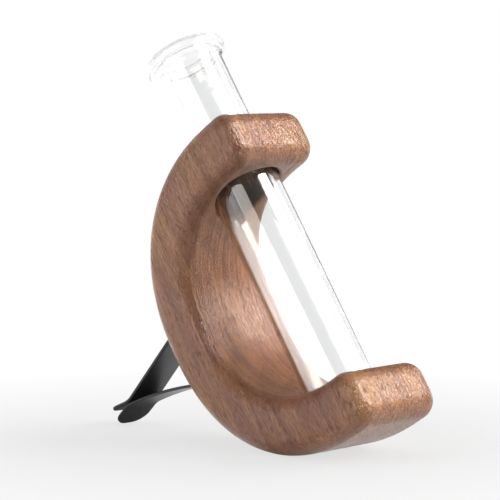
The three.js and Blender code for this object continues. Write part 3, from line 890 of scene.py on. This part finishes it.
# The thread's ridge spans this share of the pitch on each side, and rises over this length
RIDGE_SHARE = 0.28
THREAD_RUN_IN = 0.4
SCREW_AROUND = 96
DOME_RINGS = 48
SIDE_RINGS = 4
SEAT_RINGS = 5
THREAD_RINGS = 240


def screwed(radius, depth, turn):
    """Places round the screw's axis; depth runs from the head's seat into the holder."""
    return place(HEAD_SEAT + depth, SCREW_UP + radius * np.cos(turn), radius * np.sin(turn))


def step_down(value, edge, softness):
    """From 1 to 0 as value passes edge, by a smooth cubic."""
    share = np.clip((edge + softness - value) / (2 * softness), 0, 1)
    return share * share * (3 - 2 * share)


def screw_skin():
    """The head's dome with its cross cut in, the head's side and seat, and the threaded shank.

    The dome is a quarter of an ellipse. The thread's ridge is a triangle over each pitch that
    moves on with the turn round the screw, and it tapers away at the point.
    """
    turn = np.linspace(0, 2 * np.pi, SCREW_AROUND + 1)[None, :]
    radius = HEAD_RADIUS * np.sin(np.linspace(0, np.pi / 2, DOME_RINGS + 1))[:, None]
    dome = HEAD_SIDE + (HEAD_HEIGHT - HEAD_SIDE) * np.sqrt(1 - (radius / HEAD_RADIUS) ** 2)
    x, y = np.abs(radius * np.cos(turn)), np.abs(radius * np.sin(turn))
    cross = 0
    for wide, far in ((x, y), (y, x)):
        arm = (step_down(wide, RECESS_HALF_WIDTH, RECESS_SIDE_SOFTNESS)
               * step_down(far, RECESS_REACH, RECESS_END_SOFTNESS))
        cross = np.maximum(cross, arm)
    depth = RECESS_DEPTH * (1 - RECESS_RISE * radius / RECESS_REACH)
    grids = [screwed(radius, -dome + cross * np.maximum(depth, 0), turn)]
    rim = np.linspace(HEAD_SIDE, 0, SIDE_RINGS + 1)[:, None]
    grids.append(screwed(HEAD_RADIUS, -rim + 0 * turn, turn))
    under = np.linspace(HEAD_RADIUS, SCREW_CORE, SEAT_RINGS + 1)[:, None]
    grids.append(screwed(under, 0 * turn, turn))
    length = SCREW_SHANK + SCREW_POINT
    along = np.linspace(0, length, THREAD_RINGS + 1)[:, None]
    taper = np.clip((length - along) / SCREW_POINT, 0, 1)
    share = np.mod(along / SCREW_PITCH - turn / (2 * np.pi), 1)
    ridge = np.clip(1 - np.abs(share - 0.5) / RIDGE_SHARE, 0, 1) * np.clip(along / THREAD_RUN_IN, 0, 1)
    shank = taper * (SCREW_CORE + (SCREW_RADIUS - SCREW_CORE) * ridge)
    grids.append(screwed(shank, along + 0 * turn, turn))
    return [surface(grid) for grid in grids]


OXIDE_BLACK = (0.028, 0.028, 0.03, 1)
OXIDE_GREY = (0.07, 0.069, 0.07, 1)


def oxide_finish(piece):
    """Black oxide on steel: a fine grain of black and dark grey that is also its roughness."""
    wire = material("black_oxide_steel", piece)
    at = wire.node("TexCoord", output=3)
    grain = at.noise(1800.0, 3.0, 0.6)
    color = grain.ramp(0.35, 0.7).mixed(OXIDE_BLACK, OXIDE_GREY)
    bump = wire.node("Bump", None, {"Strength": 0.3, "Distance": 0.03 * MM, "Height": grain})
    roughness = 0.34 + 0.2 * (grain - 0.5)
    principled(wire, {"Base Color": color, "Roughness": roughness, "Normal": bump, "Metallic": 0.85})


screw = solid("clip_wood_screw", screw_skin(), sharp=40)
oxide_finish(screw)
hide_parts("clip_screw")
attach(screw, "holder")

# Studio
# A plain pale floor and surround, three soft lamps, and panels that only reflections see: they
# stand for the lamps' softboxes. The camera stands at the photograph's angle.

# The studio's sizes are metres. Near the vase this share of the floor is plain white to the
# camera, and the rest shows shadows; from the far distance on, all of it is white
FLOOR_HALF = 6.0
NEAR_FLOOR = 0.045
FAR_FLOOR = 0.13
NEAR_WHITE = 0.7
# Where the vase touches the floor: its clip's tip, and the round of the holder at this Y
TIP_FOOT = (0, 0.043, 0)
HOLDER_FOOT = -0.0175
# How far from each foot the vase shades the floor in reflections, from where to where that
# fades, and the share of the light that is left before and after
TIP_SHADE = (0.008, 0.022, 0.06, 1.0)
FOOT_SHADE = (0.002, 0.012, 0.25, 1.0)
# How bright the floor is in reflections, and the surround to dull surfaces
MIRRORED_FLOOR = 1.7
WORLD_LIGHT = 0.27
CAMERA_SIDE = (-0.742, -0.667, 0.06)
SQUARE = ((-1, -1), (1, -1), (1, 1), (-1, 1))
WHITE = (1, 1, 1, 1)
PALE = (0.86, 0.86, 0.86, 1)
WARM = (1, 0.95, 0.88, 1)
LAMP_WARM = (1, 0.985, 0.97)


def ray_kinds(wire):
    """Whether a ray comes from the camera, whether through glass, and whether by reflection.

    Each is 0 once the ray has left a dull surface, where it only carries plain light. A ray
    through glass also counts as glossy to the renderer, so that is taken off the last one.
    """
    outputs = wire.node("LightPath").socket.node.outputs
    camera, glossy, through = (Wire(wire.tree, outputs["Is " + kind + " Ray"])
                               for kind in ("Camera", "Glossy", "Transmission"))
    direct = Wire(wire.tree, outputs["Diffuse Depth"]).ramp(0, 1, 1.0, 0.0)
    return camera * direct, through * direct, direct * glossy * (1 - through)


def flat_square(name, corners):
    """One stage face with these corners."""
    mesh = bpy.data.meshes.new(name)
    mesh.from_pydata(corners, [], [(0, 1, 2, 3)])
    made = bpy.data.objects.new(name, mesh)
    bpy.context.scene.collection.objects.link(made)
    return made


def studio_floor():
    """A large flat square at the height that the vase stands on, white where it is far away.

    Reflections see it brighter, but dark near the two feet, where the vase shades it.
    """
    floor = flat_square("studio_floor", [(FLOOR_HALF * x, FLOOR_HALF * y, 0) for x, y in SQUARE])
    wire = material("pale_floor", floor)
    at = wire.node("TexCoord", output=3)
    seen, through, mirrored = ray_kinds(wire)
    whiteness = at.measure("LENGTH").ramp(NEAR_FLOOR, FAR_FLOOR, NEAR_WHITE, 1.0)
    share = (seen + through + mirrored) * whiteness
    plain = wire.node("BsdfDiffuse", None, {"Color": PALE})
    from_tip = at.measure("DISTANCE", TIP_FOOT)
    from_foot = abs(wire.node("SeparateXYZ", None, {"Vector": at}, output=1) - HOLDER_FOOT)
    open_floor = from_tip.ramp(*TIP_SHADE) * from_foot.ramp(*FOOT_SHADE)
    glow = 1 + mirrored * (MIRRORED_FLOOR * open_floor - 1)
    white = wire.node("Emission", None, {"Color": WHITE, "Strength": glow})
    mixed = wire.node("MixShader", None, {0: share, 1: plain, 2: white})
    wire.node("OutputMaterial", None, {"Surface": mixed})


def studio_world():
    """White to the camera, but darker on the camera's side for all other rays.

    facing goes from -1, beyond the vase, to 1, on the camera's side.
    """
    world = bpy.data.worlds.new("studio_world")
    world.use_nodes = True
    world.node_tree.nodes.clear()
    wire = Wire(world.node_tree)
    seen, through, mirrored = ray_kinds(wire)
    way = wire.node("TexCoord", output=0)
    facing = way.measure("DOT_PRODUCT", CAMERA_SIDE)
    mirror = mirrored * (facing.ramp(-0.8, -0.3, 1.0, 0.3) - facing.ramp(0.3, 0.75, 0.0, 0.22))
    clear = through * facing.ramp(0.3, 0.75, 1.0, 0.35)
    lit = (1 - seen - through - mirrored) * facing.ramp(0.25, 0.85, WORLD_LIGHT, 0.1 * WORLD_LIGHT)
    strength = seen + clear + mirror + lit
    light = wire.node("Background", None, {"Color": WHITE, "Strength": strength})
    wire.node("OutputWorld", None, {"Surface": light})
    bpy.context.scene.world = world


def around(azimuth, elevation, distance):
    """A place at a bearing and a height angle from the vase; azimuth 0 is towards its front."""
    turn, rise = math.radians(azimuth), math.radians(elevation)
    way = Vector((math.sin(turn) * math.cos(rise), -math.cos(turn) * math.cos(rise), math.sin(rise)))
    return way * distance


MIDDLE = Vector((0, 0, 0.04))


def lamp(name, azimuth, elevation, distance, width, height, power, color=(1, 1, 1)):
    """A soft rectangular lamp that faces the vase; the cards stand for it in reflections."""
    data = bpy.data.lights.new(name, "AREA")
    data.shape, data.size, data.size_y = "RECTANGLE", width, height
    data.energy, data.color = power, color
    made = bpy.data.objects.new(name, data)
    way = around(azimuth, elevation, distance)
    made.location = MIDDLE + way
    made.rotation_euler = (-way).to_track_quat("-Z", "Y").to_euler()
    made.visible_glossy = False
    bpy.context.scene.collection.objects.link(made)


def card(name, azimuth, elevation, distance, width, height, strength, in_glass=0.0, color=WARM):
    """A panel that reflections see at one strength (0 is a flag) and rays in glass at another."""
    way = around(azimuth, elevation, distance)
    right = Vector((0, 0, 1)).cross(way).normalized() * width / 2
    rise = way.cross(right).normalized() * height / 2
    made = flat_square(name, [MIDDLE + way + x * right + y * rise for x, y in SQUARE])
    wire = material(name + "_finish", made)
    _, through, mirrored = ray_kinds(wire)
    glow = in_glass * through + strength * mirrored
    light = wire.node("Emission", None, {"Color": color, "Strength": glow})
    wire.node("OutputMaterial", None, {"Surface": light})
    for kind in ("camera", "diffuse", "volume_scatter", "shadow"):
        setattr(made, "visible_" + kind, False)
    made.visible_transmission = in_glass > 0


studio_floor()
studio_world()
lamp("right_lamp", 46, 24, 1.0, 0.9, 0.6, 8.5, LAMP_WARM)
lamp("left_lamp", -122, 12, 1.0, 0.6, 0.7, 3.8, LAMP_WARM)
lamp("top_lamp", 0, 88, 1.0, 0.5, 0.5, 0.8)
card("right_strip", 68, 28, 1.0, 0.25, 0.42, 6.0, 3.5, WHITE)
card("front_strip", 27, 49, 1.0, 0.5, 0.6, 34.0, 10.0)
card("left_panel", -83, 20, 1.0, 0.77, 0.5, 5.5)
card("top_panel", 100, 66, 1.0, 0.3, 0.3, 3.0, 0.0, WHITE)
card("low_strip", 45, 24, 1.0, 0.62, 0.36, 10.0)
card("high_strip", 52, 56, 1.0, 0.3, 0.24, 3.0)
card("right_flag", 118, 6, 0.5, 0.22, 0.5, 0.0)

# The camera that sees the vase's outlines as the photograph does: degrees and millimetres
CAMERA_AZIMUTH = -48.043
CAMERA_ELEVATION = 4.337
CAMERA_ROLL = -0.160
CAMERA_DISTANCE = 504.28
CAMERA_AIM = (-0.646, 0.401, 43.846)
CAMERA_LENS = 159.81
SENSOR_WIDTH = 36.0


def photo_camera():
    """The camera: from its aim, back along azimuth and elevation by the distance."""
    data = bpy.data.cameras.new("photo_camera")
    data.lens, data.sensor_width = CAMERA_LENS, SENSOR_WIDTH
    data.clip_start, data.clip_end = 0.01, 50.0
    turn = (Matrix.Rotation(math.radians(CAMERA_AZIMUTH), 4, "Z")
            @ Matrix.Rotation(math.radians(90 - CAMERA_ELEVATION), 4, "X")
            @ Matrix.Rotation(math.radians(CAMERA_ROLL), 4, "Z"))
    away = turn @ Vector((0, 0, CAMERA_DISTANCE * MM))
    camera = bpy.data.objects.new("photo_camera", data)
    camera.matrix_world = Matrix.Translation(Vector(CAMERA_AIM) * MM + away) @ turn
    bpy.context.scene.collection.objects.link(camera)
    bpy.context.scene.camera = camera


photo_camera()
bpy.context.scene.view_settings.view_transform = "Standard"
